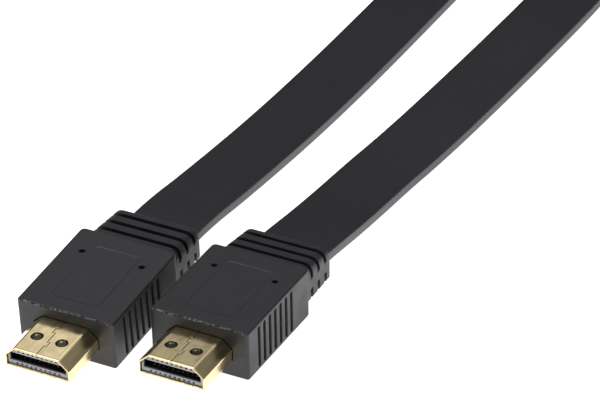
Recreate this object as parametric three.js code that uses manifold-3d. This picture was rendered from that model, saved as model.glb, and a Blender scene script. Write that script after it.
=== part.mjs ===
// Flat video cable: two identical 19-contact plugs joined by one ribbon-shaped cord.
// Millimetres, +Z up. The origin lies on the base of plug B, under the middle of its body.
// +Y runs from the mouths of the plugs towards the cord, +X to the right seen from behind.
import * as THREE from 'three';
import { mergeVertices } from 'three/addons/utils/BufferGeometryUtils.js';
import Module from 'manifold-3d';

const wasm = await Module();
wasm.setup();

// Overmould body
const BODY_WIDTH = 20.7;
const BODY_HEIGHT = 10.4;
const BODY_LENGTH = 24.9;
const BODY_FRONT_CORNER = 0.6;
const BODY_REAR_CORNER = 1.0;
const BODY_EDGE = 0.4;

// Vertical grip grooves on both sides
const GRIP_COUNT = 7;
const GRIP_PITCH = 2.15;
const GRIP_WIDTH = 0.95;
const GRIP_DEPTH = 0.8;
const GRIP_FIRST = 4.4;
const GRIP_MARGIN = 0.75;

// Two pin holes and one shallow bare panel on the top
const PIN_HOLE_RADIUS = 0.55;
const PIN_HOLE_DEPTH = 1.6;
const PIN_HOLE_SPACING = 13.0;
const PIN_HOLE_FROM_REAR = 6.8;
const PANEL_WIDTH = 10.4;
const PANEL_LENGTH = 17.0;
const PANEL_FROM_REAR = 4.2;
const PANEL_CORNER = 1.4;
const PANEL_DEPTH = 0.15;

// Strain relief moulded on behind the body
const RELIEF_LENGTH = 10.6;
const RELIEF_ROOT_WIDTH = 19.0;
const RELIEF_END_WIDTH = 18.4;
const RELIEF_BOTTOM = 1.6;
const RELIEF_ROOT_TOP = 9.65;
const RELIEF_END_TOP = 8.3;
const RELIEF_TOP_CORNER = 2.2;
const RELIEF_BOTTOM_CORNER = 0.8;
const RELIEF_GROOVES = 3;
const RELIEF_GROOVE_WIDTH = 1.0;
const RELIEF_GROOVE_DEPTH = 1.0;
const RELIEF_GROOVE_PITCH = 2.95;
const RELIEF_FIRST_GROOVE = 2.65;
const RELIEF_LAND = 2.4;

// Metal shell: wide side down, slanted shoulders up to the narrow side
const SHELL_WIDTH = 13.9;
const SHELL_NARROW_WIDTH = 9.75;
const SHELL_HEIGHT = 4.45;
const SHELL_SHOULDER = 1.9;
const SHELL_WALL = 0.4;
const SHELL_EXPOSED = 10.9;
const SHELL_SEATED = 2.7;
const SHELL_CENTRE_ABOVE_MIDDLE = 0.55;
const SHELL_CORNER = 0.35;
const DIMPLE_RADIUS = 1.2;
const DIMPLE_DEPTH = 0.22;
const DIMPLE_SPACING = 5.3;
const DIMPLE_FROM_BODY = 5.8;

// Contact carrier inside the shell, and its contacts
const CARRIER_RECESS = 0.45;
const SLOT_WIDTH = 12.0;
const SLOT_HEIGHT = 1.8;
const SLOT_END_WALL = 1.6;
const WINDOW_WIDTH = 0.46;
const WINDOW_HEIGHT = 0.4;
const WINDOW_DEPTH = 1.4;
const WINDOW_STRIP = 0.3;
const CONTACT_PITCH = 1.0;
const CONTACTS_BELOW = 10;
const CONTACTS_ABOVE = 9;
const CONTACT_WIDTH = 0.42;
const CONTACT_THICKNESS = 0.2;
const CONTACT_SETBACK = 1.3;

// How far the cutting tools reach past the surface that they cut
const CUT_OVERRUN = 1;

// Clearances between separate pieces
const SEAT_CLEARANCE = 0.3;
const CARRIER_CLEARANCE = 0.15;
const CONTACT_CLEARANCE = 0.1;

// Placing: plug A lies beside and in front of plug B with its nose tipped down
const PLUG_SIDE_GAP = 3.35;
const PLUG_A_FORWARD = 7.5;
const PLUG_A_TIP = 3.8;

// Flat cord
const CORD_WIDTH = 14.8;
const CORD_THICKNESS = 2.1;
const CORD_EDGE_RADIUS = 0.35;
const LEAD_STEPS = 34;

// Coil of the unseen length: two strands wound side by side, joined by an S across the bore
const COIL_CENTRE = new THREE.Vector2(-69.74, 200);
const COIL_BORE = 42;
const STRAND_PITCH = 5.1;
const STRAND_B_TURNS = 1.837;
const COIL_LIFT = 1.0;
const COIL_SLACK = 0.3;
const COIL_SEGMENTS = 72;
const CROSSING_SEGMENTS = 16;

// Tie round the bundle, which it draws together
const TIE_ANGLE = 60;
const TIE_WIDTH = 9;
const TIE_THICKNESS = 0.7;
const TIE_CORNER = 1.6;
const TIE_EASE = 0.8;
const TIE_PINCH = 0.5;
const TIE_PINCH_SPREAD = 20;

// Where each lead starts to turn on edge, and the length over which it does so
const TWIST_A = { start: 140, length: 46 };
const TWIST_B = { start: 150, length: 40 };

// Routes of the two leads from the strain relief to the coil: x, y, z of the ribbon's middle
const LEAD_A_ROUTE = [
  [-24.05, 15.6, 6.75], [-24.05, 20, 6.75], [-24.05, 27, 6.3], [-24.05, 34, 5.5],
  [-24.05, 42, 4.7], [-24.05, 52, 3.8], [-24.1, 63, 2.9], [-24.2, 76, 2.05],
  [-24.3, 90, 1.45], [-24.3, 104, 1.2], [-24.3, 118, 1.15], [-24.3, 131, 1.15],
  [-24.2, 141, 1.25], [-23.4, 150, 2.6], [-21.2, 160, 5.5], [-18.5, 170, 7.8],
  [-16.0, 180, 8.4], [-14.35, 190, 8.5], [-14.1, 199.7, 8.5],
];
const LEAD_B_ROUTE = [
  [0.2, 23.4, 4.55], [0.25, 27, 4.35], [0.3, 31, 3.9], [0.35, 37, 3.15],
  [0.4, 44, 2.4], [0.5, 52, 1.75], [0.8, 61, 1.3], [1.6, 71, 1.15],
  [2.4, 82, 1.15], [3.1, 95, 1.15], [3.7, 108, 1.15], [4.2, 121, 1.15],
  [4.6, 134, 1.15], [4.7, 146, 1.15], [4.4, 152, 1.4], [3.55, 158, 2.4],
  [0.72, 166, 5.1], [-2.8, 174, 7.45], [-6.2, 182, 8.4], [-8.5, 190, 8.5], [-9.0, 199.7, 8.5],
];

// Heights and lengths that follow from the sizes above
const shellCentre = BODY_HEIGHT / 2 + SHELL_CENTRE_ABOVE_MIDDLE;
const shellTop = shellCentre + SHELL_HEIGHT / 2;
const carrierFront = -SHELL_EXPOSED + CARRIER_RECESS;
const carrierLength = SHELL_EXPOSED - CARRIER_RECESS + SHELL_SEATED - CARRIER_CLEARANCE;
const slotDepth = SHELL_EXPOSED - CARRIER_RECESS - SLOT_END_WALL;

const moulding = new THREE.MeshStandardMaterial({ color: 0x25262a, roughness: 0.62, metalness: 0 });
const jacket = new THREE.MeshStandardMaterial({ color: 0x232427, roughness: 0.5, metalness: 0 });
const plating = new THREE.MeshStandardMaterial({ color: 0xd8b56a, roughness: 0.25, metalness: 1 });
const insulator = new THREE.MeshStandardMaterial({ color: 0x8c8c94, roughness: 0.6, metalness: 0 });
const strap = new THREE.MeshStandardMaterial({ color: 0x1b1b1d, roughness: 0.9, metalness: 0 });

// A closed three.js geometry as a solid that can be joined and cut
function solidFrom(geometry) {
  const bare = geometry.clone();
  bare.deleteAttribute('normal');
  bare.deleteAttribute('uv');
  const merged = mergeVertices(bare, 1e-4);
  const mesh = new wasm.Mesh({
    numProp: 3,
    vertProperties: new Float32Array(merged.attributes.position.array),
    triVerts: new Uint32Array(merged.index.array),
  });
  return new wasm.Manifold(mesh);
}

function geometryFrom(solid) {
  const mesh = solid.getMesh();
  const geometry = new THREE.BufferGeometry();
  geometry.setAttribute('position', new THREE.BufferAttribute(mesh.vertProperties, 3));
  geometry.setIndex(new THREE.BufferAttribute(mesh.triVerts, 1));
  geometry.computeVertexNormals();
  return geometry;
}

// Box between two corners
function boxBetween(low, high) {
  const size = high.map((value, axis) => value - low[axis]);
  const middle = high.map((value, axis) => (value + low[axis]) / 2);
  return solidFrom(new THREE.BoxGeometry(...size).translate(...middle));
}

// Upright cylinder with its top and bottom at the given heights
function uprightCylinder(radius, x, y, bottom, top, sides) {
  const cylinder = new THREE.CylinderGeometry(radius, radius, top - bottom, sides);
  return solidFrom(cylinder.rotateX(Math.PI / 2).translate(x, y, (top + bottom) / 2));
}

// Polygon with every side moved outwards by the same distance (corners counter-clockwise)
function offsetPolygon(corners, distance) {
  return corners.map((corner, i) => {
    const before = corners[(i + corners.length - 1) % corners.length];
    const after = corners[(i + 1) % corners.length];
    const sideIn = corner.clone().sub(before).normalize();
    const sideOut = after.clone().sub(corner).normalize();
    const normalIn = new THREE.Vector2(sideIn.y, -sideIn.x);
    const normalOut = new THREE.Vector2(sideOut.y, -sideOut.x);
    const bisector = normalIn.clone().add(normalOut);
    const reach = distance / (0.5 * bisector.lengthSq());
    return corner.clone().add(bisector.multiplyScalar(reach));
  });
}

// Closed outline through corners that are each rounded by their own radius
function roundedOutline(corners, radii) {
  const outline = new THREE.Shape();
  corners.forEach((corner, i) => {
    const before = corners[(i + corners.length - 1) % corners.length];
    const after = corners[(i + 1) % corners.length];
    const backwards = before.clone().sub(corner);
    const forwards = after.clone().sub(corner);
    const cut = Math.min(radii[i], 0.45 * backwards.length(), 0.45 * forwards.length());
    const from = corner.clone().add(backwards.setLength(cut));
    const to = corner.clone().add(forwards.setLength(cut));
    if (i === 0) outline.moveTo(from.x, from.y);
    else outline.lineTo(from.x, from.y);
    outline.quadraticCurveTo(corner.x, corner.y, to.x, to.y);
  });
  outline.closePath();
  return outline;
}

function rectangle(width, low, high) {
  return [
    new THREE.Vector2(-width / 2, low),
    new THREE.Vector2(width / 2, low),
    new THREE.Vector2(width / 2, high),
    new THREE.Vector2(-width / 2, high),
  ];
}

// An outline in x and z, drawn out along +Y from the given y
function alongY(outline, start, length, curveSegments) {
  const geometry = new THREE.ExtrudeGeometry(outline, { depth: length, bevelEnabled: false, curveSegments });
  const basis = new THREE.Matrix4().makeBasis(
    new THREE.Vector3(-1, 0, 0),
    new THREE.Vector3(0, 0, 1),
    new THREE.Vector3(0, 1, 0),
  );
  return geometry.applyMatrix4(basis).translate(0, start, 0);
}

// Section of the shell, grown or shrunk by a distance
function shellOutline(distance) {
  const low = shellCentre - SHELL_HEIGHT / 2;
  const corners = [
    new THREE.Vector2(-SHELL_WIDTH / 2, low),
    new THREE.Vector2(SHELL_WIDTH / 2, low),
    new THREE.Vector2(SHELL_WIDTH / 2, shellTop - SHELL_SHOULDER),
    new THREE.Vector2(SHELL_NARROW_WIDTH / 2, shellTop),
    new THREE.Vector2(-SHELL_NARROW_WIDTH / 2, shellTop),
    new THREE.Vector2(-SHELL_WIDTH / 2, shellTop - SHELL_SHOULDER),
  ];
  const radius = Math.max(SHELL_CORNER + distance, 0.1);
  return roundedOutline(offsetPolygon(corners, distance), corners.map(() => radius));
}

// Tapered body of the strain relief, shrunk by an inset, which reaches into the body
function reliefBody(inset) {
  const overlap = BODY_REAR_CORNER;
  const length = RELIEF_LENGTH + overlap;
  const width = RELIEF_ROOT_WIDTH - 2 * inset;
  const corners = rectangle(width, RELIEF_BOTTOM + inset, RELIEF_ROOT_TOP - inset);
  const top = RELIEF_TOP_CORNER - inset / 2;
  const bottom = RELIEF_BOTTOM_CORNER - inset / 2;
  const outline = roundedOutline(corners, [bottom, bottom, top, top]);
  const geometry = alongY(outline, BODY_LENGTH - overlap, length, 5);
  const position = geometry.attributes.position;
  const low = RELIEF_BOTTOM + inset;
  const rootHeight = RELIEF_ROOT_TOP - inset - low;
  const endHeight = RELIEF_END_TOP - inset - low;
  const endScale = (RELIEF_END_WIDTH - 2 * inset) / width;
  for (let i = 0; i < position.count; i++) {
    if (position.getY(i) > BODY_LENGTH) {
      position.setX(i, position.getX(i) * endScale);
      position.setZ(i, low + ((position.getZ(i) - low) * endHeight) / rootHeight);
    }
  }
  return solidFrom(geometry);
}

// Grooves round the strain relief, each stopped by a land at mid height on both sides
function reliefGrooves() {
  const core = reliefBody(RELIEF_GROOVE_DEPTH);
  const landMiddle = BODY_HEIGHT / 2;
  const reach = BODY_WIDTH;
  let grooves = null;
  for (let i = 0; i < RELIEF_GROOVES; i++) {
    const middle = BODY_LENGTH + RELIEF_FIRST_GROOVE + i * RELIEF_GROOVE_PITCH;
    const front = middle - RELIEF_GROOVE_WIDTH / 2;
    const back = middle + RELIEF_GROOVE_WIDTH / 2;
    const slab = boxBetween([-reach, front, -reach], [reach, back, reach]);
    const landBottom = landMiddle - RELIEF_LAND / 2;
    const landLow = [-reach, front - CUT_OVERRUN, landBottom];
    const landHigh = [reach, back + CUT_OVERRUN, landBottom + RELIEF_LAND];
    const land = boxBetween(landLow, landHigh);
    const ring = slab.subtract(core).subtract(land);
    grooves = grooves ? grooves.add(ring) : ring;
  }
  return grooves;
}

// One grip groove: an upright slot with round ends in the side of the body
function gripGroove(side, y) {
  const low = GRIP_MARGIN + GRIP_WIDTH / 2;
  const high = BODY_HEIGHT - GRIP_MARGIN - GRIP_WIDTH / 2;
  const slot = new THREE.Shape();
  slot.absarc(0, high, GRIP_WIDTH / 2, 0, Math.PI, false);
  slot.absarc(0, low, GRIP_WIDTH / 2, Math.PI, 2 * Math.PI, false);
  const depth = 2 * GRIP_DEPTH;
  const geometry = new THREE.ExtrudeGeometry(slot, { depth, bevelEnabled: false, curveSegments: 5 });
  const basis = new THREE.Matrix4().makeBasis(
    new THREE.Vector3(0, 1, 0),
    new THREE.Vector3(0, 0, 1),
    new THREE.Vector3(1, 0, 0),
  );
  const start = side * (BODY_WIDTH / 2) - GRIP_DEPTH;
  return solidFrom(geometry.applyMatrix4(basis).translate(start, y, 0));
}

function overmould() {
  const plan = roundedOutline(
    rectangle(BODY_WIDTH, 0, BODY_LENGTH),
    [BODY_FRONT_CORNER, BODY_FRONT_CORNER, BODY_REAR_CORNER, BODY_REAR_CORNER],
  );
  const block = new THREE.ExtrudeGeometry(plan, {
    depth: BODY_HEIGHT - 2 * BODY_EDGE,
    bevelThickness: BODY_EDGE,
    bevelSize: BODY_EDGE,
    bevelOffset: -BODY_EDGE,
    bevelSegments: 3,
    curveSegments: 5,
  });
  let solid = solidFrom(block.translate(0, 0, BODY_EDGE)).add(reliefBody(0));
  solid = solid.subtract(reliefGrooves());
  for (const side of [-1, 1]) {
    for (let i = 0; i < GRIP_COUNT; i++) {
      solid = solid.subtract(gripGroove(side, GRIP_FIRST + i * GRIP_PITCH));
    }
    const holeX = (side * PIN_HOLE_SPACING) / 2;
    const holeY = BODY_LENGTH - PIN_HOLE_FROM_REAR;
    const holeBottom = BODY_HEIGHT - PIN_HOLE_DEPTH;
    const holeTop = BODY_HEIGHT + CUT_OVERRUN;
    solid = solid.subtract(uprightCylinder(PIN_HOLE_RADIUS, holeX, holeY, holeBottom, holeTop, 12));
  }
  const panelRear = BODY_LENGTH - PANEL_FROM_REAR;
  const panelPlan = roundedOutline(
    rectangle(PANEL_WIDTH, panelRear - PANEL_LENGTH, panelRear),
    [PANEL_CORNER, PANEL_CORNER, PANEL_CORNER, PANEL_CORNER],
  );
  const panelTool = { depth: PANEL_DEPTH + CUT_OVERRUN, bevelEnabled: false, curveSegments: 4 };
  const panel = new THREE.ExtrudeGeometry(panelPlan, panelTool);
  solid = solid.subtract(solidFrom(panel.translate(0, 0, BODY_HEIGHT - PANEL_DEPTH)));
  const pocketDepth = SHELL_SEATED + SEAT_CLEARANCE;
  const pocket = alongY(shellOutline(SEAT_CLEARANCE), -CUT_OVERRUN, CUT_OVERRUN + pocketDepth, 3);
  return geometryFrom(solid.subtract(solidFrom(pocket)));
}

function shell() {
  const length = SHELL_EXPOSED + SHELL_SEATED;
  const outside = solidFrom(alongY(shellOutline(0), -SHELL_EXPOSED, length, 3));
  const boreStart = -SHELL_EXPOSED - CUT_OVERRUN;
  const inside = solidFrom(alongY(shellOutline(-SHELL_WALL), boreStart, length + 2 * CUT_OVERRUN, 3));
  let solid = outside.subtract(inside);
  for (const side of [-1, 1]) {
    const x = (side * DIMPLE_SPACING) / 2;
    const bottom = shellTop - DIMPLE_DEPTH;
    const top = shellTop + CUT_OVERRUN;
    solid = solid.subtract(uprightCylinder(DIMPLE_RADIUS, x, -DIMPLE_FROM_BODY, bottom, top, 20));
  }
  return geometryFrom(solid);
}

// Middle of each contact across the plug, in one row
function contactRow(count) {
  return Array.from({ length: count }, (_, i) => (i - (count - 1) / 2) * CONTACT_PITCH);
}

function contactCarrier() {
  const outline = shellOutline(-SHELL_WALL - CARRIER_CLEARANCE);
  let solid = solidFrom(alongY(outline, carrierFront, carrierLength, 3));
  const slotBottom = shellCentre - SLOT_HEIGHT / 2;
  const slotTop = shellCentre + SLOT_HEIGHT / 2;
  const slotLow = [-SLOT_WIDTH / 2, carrierFront - CUT_OVERRUN, slotBottom];
  const slotHigh = [SLOT_WIDTH / 2, carrierFront + slotDepth, slotTop];
  solid = solid.subtract(boxBetween(slotLow, slotHigh));
  const rows = [
    { count: CONTACTS_ABOVE, bottom: slotTop + WINDOW_STRIP },
    { count: CONTACTS_BELOW, bottom: slotBottom - WINDOW_STRIP - WINDOW_HEIGHT },
  ];
  for (const row of rows) {
    for (const x of contactRow(row.count)) {
      const low = [x - WINDOW_WIDTH / 2, carrierFront - CUT_OVERRUN, row.bottom];
      const high = [x + WINDOW_WIDTH / 2, carrierFront + WINDOW_DEPTH, row.bottom + WINDOW_HEIGHT];
      solid = solid.subtract(boxBetween(low, high));
    }
  }
  return geometryFrom(solid);
}

// Contacts lie along the two faces of the slot; the longer row is on the wide side
function contacts(name) {
  const length = slotDepth - CONTACT_SETBACK - CONTACT_CLEARANCE;
  const rise = SLOT_HEIGHT / 2 - CONTACT_CLEARANCE - CONTACT_THICKNESS / 2;
  const places = [
    ...contactRow(CONTACTS_BELOW).map((x) => [x, shellCentre - rise]),
    ...contactRow(CONTACTS_ABOVE).map((x) => [x, shellCentre + rise]),
  ];
  return places.map(([x, z], i) => {
    const blade = new THREE.BoxGeometry(CONTACT_WIDTH, length, CONTACT_THICKNESS);
    const mesh = new THREE.Mesh(blade, plating);
    mesh.name = `${name}_contact_${String(i + 1).padStart(2, '0')}`;
    mesh.position.set(x, carrierFront + CONTACT_SETBACK + length / 2, z);
    return mesh;
  });
}

function namedMesh(name, geometry, material) {
  const mesh = new THREE.Mesh(geometry, material);
  mesh.name = name;
  return mesh;
}

function plug(name) {
  const group = new THREE.Group();
  group.add(namedMesh(`${name}_overmould`, overmould(), moulding));
  group.add(namedMesh(`${name}_shell`, shell(), plating));
  group.add(namedMesh(`${name}_contact_carrier`, contactCarrier(), insulator));
  group.add(...contacts(name));
  return group;
}

// Ribbon swept along a route; it lies flat and turns on edge where the twist says
function ribbon(route, twist) {
  const curve = new THREE.CatmullRomCurve3(route.map((point) => new THREE.Vector3(...point)));
  const up = new THREE.Vector3(0, 0, 1);
  curve.computeFrenetFrames = (steps) => {
    const frames = { tangents: [], normals: [], binormals: [] };
    for (let i = 0; i <= steps; i++) {
      const tangent = curve.getTangentAt(i / steps);
      const across = tangent.clone().cross(up).normalize();
      const above = across.clone().cross(tangent);
      const along = (curve.getPointAt(i / steps).y - twist.start) / twist.length;
      const roll = (Math.PI / 2) * THREE.MathUtils.smoothstep(along, 0, 1);
      const normal = across.multiplyScalar(Math.cos(roll)).addScaledVector(above, Math.sin(roll));
      frames.tangents.push(tangent);
      frames.normals.push(normal);
      frames.binormals.push(tangent.clone().cross(normal));
    }
    return frames;
  };
  const edge = Array(4).fill(CORD_EDGE_RADIUS);
  const section = roundedOutline(rectangle(CORD_WIDTH, -CORD_THICKNESS / 2, CORD_THICKNESS / 2), edge);
  return new THREE.ExtrudeGeometry(section, { steps: LEAD_STEPS, extrudePath: curve, curveSegments: 2 });
}

const strapAngle = THREE.MathUtils.degToRad(TIE_ANGLE);
const strandHalf = CORD_THICKNESS / 2 + COIL_SLACK;
const innerRadius = COIL_BORE - strandHalf;

// Outer edge of the bundle before it is tied: it falls by two strands in a turn
function looseOuterRadius(angle) {
  return COIL_BORE + 2 * STRAND_PITCH * (STRAND_B_TURNS - angle / (2 * Math.PI)) + strandHalf;
}

const bundleMiddle = (looseOuterRadius(strapAngle) + innerRadius) / 2;

// The tie draws the strands towards the middle of the bundle
function tiedRadius(radius, angle) {
  const away = (angle - strapAngle) / THREE.MathUtils.degToRad(TIE_PINCH_SPREAD);
  return bundleMiddle + (radius - bundleMiddle) * (1 - TIE_PINCH * Math.exp(-away * away));
}

function polar(radius, angle) {
  return new THREE.Vector2(radius * Math.cos(angle), radius * Math.sin(angle));
}

// Strip of the S that joins the two strands across the bore
function crossingOutline(startAngle) {
  const bend = COIL_BORE / 2;
  const middle = polar(bend, startAngle);
  const sides = { left: [], right: [] };
  for (let i = 0; i <= CROSSING_SEGMENTS; i++) {
    const angle = startAngle + (Math.PI * i) / CROSSING_SEGMENTS;
    sides.left.push(middle.clone().add(polar(bend - strandHalf, angle)));
    sides.right.push(middle.clone().add(polar(bend + strandHalf, angle)));
  }
  return new THREE.Shape([...sides.right, ...sides.left.reverse()]);
}

function coil() {
  const height = COIL_LIFT + CORD_WIDTH + COIL_SLACK;
  const outer = [];
  const bore = [];
  for (let i = 0; i <= COIL_SEGMENTS; i++) {
    const angle = (2 * Math.PI * i) / COIL_SEGMENTS;
    outer.push(polar(tiedRadius(looseOuterRadius(angle), angle), angle));
    if (i < COIL_SEGMENTS) bore.push(polar(tiedRadius(innerRadius, angle), angle));
  }
  const plan = new THREE.Shape(outer);
  plan.holes.push(new THREE.Path(bore));
  const upright = { depth: height, bevelEnabled: false };
  let solid = solidFrom(new THREE.ExtrudeGeometry(plan, upright));
  const crossingStart = 2 * Math.PI * STRAND_B_TURNS;
  for (const angle of [crossingStart, crossingStart + Math.PI]) {
    solid = solid.add(solidFrom(new THREE.ExtrudeGeometry(crossingOutline(angle), upright)));
  }
  const notchTop = TIE_THICKNESS + SEAT_CLEARANCE;
  const notch = new THREE.BoxGeometry(COIL_BORE, TIE_WIDTH + 2 * SEAT_CLEARANCE, 2 * notchTop);
  notch.translate(bundleMiddle, 0, 0).rotateZ(strapAngle);
  return geometryFrom(solid.subtract(solidFrom(notch)));
}

// Band round the bundle: a rounded rectangle with the bundle's own section left open
function tie() {
  const outside = tiedRadius(looseOuterRadius(strapAngle), strapAngle);
  const inside = tiedRadius(innerRadius, strapAngle);
  const opening = outside - inside + 2 * TIE_EASE;
  const top = COIL_LIFT + CORD_WIDTH + COIL_SLACK + SEAT_CLEARANCE;
  const openCorners = rectangle(opening, TIE_THICKNESS, top);
  const band = roundedOutline(offsetPolygon(openCorners, TIE_THICKNESS), Array(4).fill(TIE_CORNER));
  band.holes.push(roundedOutline(openCorners, Array(4).fill(SEAT_CLEARANCE)));
  const drawn = { depth: TIE_WIDTH, bevelEnabled: false, curveSegments: 4 };
  const geometry = new THREE.ExtrudeGeometry(band, drawn);
  const basis = new THREE.Matrix4().makeBasis(
    new THREE.Vector3(Math.cos(strapAngle), Math.sin(strapAngle), 0),
    new THREE.Vector3(0, 0, 1),
    new THREE.Vector3(Math.sin(strapAngle), -Math.cos(strapAngle), 0),
  );
  geometry.translate(bundleMiddle, 0, -TIE_WIDTH / 2);
  return geometry.applyMatrix4(basis);
}

const cable = new THREE.Group();

const plugB = plug('plug_b');
plugB.position.set(0, -BODY_LENGTH / 2, 0);
cable.add(plugB);

const plugA = plug('plug_a');
const tip = THREE.MathUtils.degToRad(PLUG_A_TIP);
plugA.rotation.x = tip;
plugA.position.set(
  -(BODY_WIDTH + PLUG_SIDE_GAP),
  -BODY_LENGTH / 2 - PLUG_A_FORWARD + BODY_EDGE * (1 - Math.cos(tip)),
  -BODY_EDGE * Math.sin(tip),
);
cable.add(plugA);

cable.add(namedMesh('cord_lead_a', ribbon(LEAD_A_ROUTE, TWIST_A), jacket));
cable.add(namedMesh('cord_lead_b', ribbon(LEAD_B_ROUTE, TWIST_B), jacket));
for (const [name, geometry, material] of [['cord_coil', coil(), jacket], ['cord_tie', tie(), strap]]) {
  const mesh = namedMesh(name, geometry, material);
  mesh.position.set(COIL_CENTRE.x, COIL_CENTRE.y, 0);
  cable.add(mesh);
}

export default cable;
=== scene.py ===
"""Flat video cable: two moulded plugs with gold-plated shells on one ribbon-shaped cord.

The script dresses the packed model: it adds finely modelled overmoulds, shells, cord and strap where the
packed solids are plain, and gives every other solid a procedural finish. Lengths are in metres.
"""

import math

import bmesh
import bpy
import numpy as np
from mathutils import Matrix, Vector


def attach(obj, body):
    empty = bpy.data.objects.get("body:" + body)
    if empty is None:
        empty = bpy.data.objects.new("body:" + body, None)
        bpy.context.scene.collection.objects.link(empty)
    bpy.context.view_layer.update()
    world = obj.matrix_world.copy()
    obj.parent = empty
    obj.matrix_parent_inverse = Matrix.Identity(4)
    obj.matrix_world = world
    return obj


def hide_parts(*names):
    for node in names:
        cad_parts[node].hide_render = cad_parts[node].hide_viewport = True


bl_info = {
    "name": "Flat Video Cable",
    "version": (1, 0, 0),
    "blender": (4, 5, 0),
    "location": "3D View > Sidebar > Flat Cable",
    "description": "Two moulded plugs, their gold-plated shells, a ribbon-shaped cord and its strap",
    "category": "Add Mesh",
}

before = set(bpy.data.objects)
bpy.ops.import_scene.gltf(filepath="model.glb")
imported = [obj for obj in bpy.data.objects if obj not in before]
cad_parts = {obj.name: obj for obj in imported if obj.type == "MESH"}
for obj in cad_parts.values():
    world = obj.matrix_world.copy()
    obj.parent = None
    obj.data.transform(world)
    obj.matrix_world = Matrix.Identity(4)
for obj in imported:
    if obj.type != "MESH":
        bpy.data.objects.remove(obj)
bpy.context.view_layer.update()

MM = 0.001
BODY = "root"

# Front of the contact carrier behind the shell's mouth, in millimetres
CARRIER_RECESS = 0.45

# Levels of the soft light by height, from 0 at the horizon to 1 straight above
SKY_STOPS = [(0.0, 0.22), (0.4, 0.17), (0.56, 0.18), (0.68, 0.4), (0.82, 0.75)]

# Place and diameter of each light, in metres
LIGHTS = {
    "key": ((-0.5, 0.1, 1.3), 1.0),
    "glint": ((-0.42, -0.72, 0.95), 0.22),
    "back": ((-0.486, 0.822, 1.024), 0.52),
}

# Routes of the two leads, in millimetres: the middle of the ribbon from the strain relief to the coil
LEAD_A_ROUTE = [
    (-24.05, 15.6, 6.75), (-24.05, 20, 6.75), (-24.05, 27, 6.3), (-24.05, 34, 5.5),
    (-24.05, 42, 4.7), (-24.05, 52, 3.8), (-24.1, 63, 2.9), (-24.2, 76, 2.05),
    (-24.3, 90, 1.45), (-24.3, 104, 1.2), (-24.3, 118, 1.15), (-24.3, 131, 1.15),
    (-24.2, 141, 1.25), (-23.4, 150, 2.6), (-21.2, 160, 5.5), (-18.5, 170, 7.8),
    (-16.0, 180, 8.4), (-14.35, 190, 8.5), (-14.1, 199.7, 8.5),
]
LEAD_B_ROUTE = [
    (0.2, 23.4, 4.55), (0.25, 27, 4.35), (0.3, 31, 3.9), (0.35, 37, 3.15),
    (0.4, 44, 2.4), (0.5, 52, 1.75), (0.8, 61, 1.3), (1.6, 71, 1.15),
    (2.4, 82, 1.15), (3.1, 95, 1.15), (3.7, 108, 1.15), (4.2, 121, 1.15),
    (4.6, 134, 1.15), (4.7, 146, 1.15), (4.4, 152, 1.4), (3.55, 158, 2.4),
    (0.72, 166, 5.1), (-2.8, 174, 7.45), (-6.2, 182, 8.4), (-8.5, 190, 8.5), (-9.0, 199.7, 8.5),
]


def length(name, millimetres, description):
    """A size in metres, with its default written in millimetres."""
    return bpy.props.FloatProperty(
        name=name,
        description=description,
        default=millimetres * MM,
        min=0.0,
        precision=5,
        unit="LENGTH",
    )


def position(name, millimetres, description):
    """A place in metres, on either side of the origin, with its default written in millimetres."""
    return bpy.props.FloatProperty(
        name=name, description=description, default=millimetres * MM, unit="LENGTH"
    )


def number(name, value, description):
    return bpy.props.FloatProperty(name=name, description=description, default=value)


def power(name, watts, description):
    return bpy.props.FloatProperty(name=name, description=description, default=watts, unit="POWER")


def count(name, whole, description):
    return bpy.props.IntProperty(name=name, description=description, default=whole, min=1)


def angle(name, degrees, description):
    return bpy.props.FloatProperty(
        name=name,
        description=description,
        default=math.radians(degrees),
        subtype="ANGLE",
    )


def colour(name, red, green, blue, description):
    return bpy.props.FloatVectorProperty(
        name=name,
        description=description,
        default=(red, green, blue),
        size=3,
        min=0.0,
        max=1.0,
        subtype="COLOR",
    )


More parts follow.
